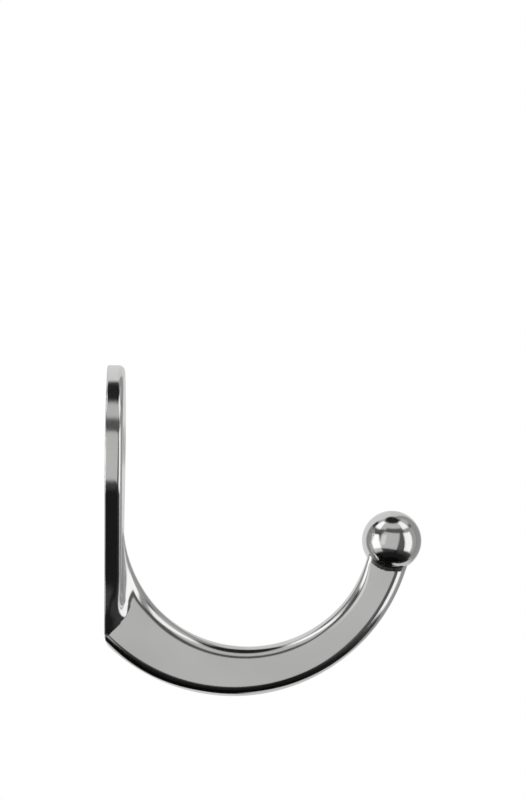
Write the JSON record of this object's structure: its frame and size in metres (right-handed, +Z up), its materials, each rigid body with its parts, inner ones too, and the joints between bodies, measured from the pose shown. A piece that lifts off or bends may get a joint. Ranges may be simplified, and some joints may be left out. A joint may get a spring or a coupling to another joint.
{
  "type": "garment hook",
  "caption": "Wall-mounted cast hook in bright chrome: a teardrop back plate with countersunk screw holes and a tapered J-shaped arm that ends in a ball, for hanging clothes.",
  "frame": {"origin": "on the back face, midway between the two screw holes", "axes": "+Y into the wall along the screws, +Z up, +X to the right as one faces the wall; the arm reaches out along -Y"},
  "size_m": [0.029, 0.0509, 0.0531],
  "materials": {
    "chrome": "bright polished chrome plating on a zinc die-casting"
  },
  "bodies": {
    "root": {"hook": "chrome"}
  },
  "joints": []
}
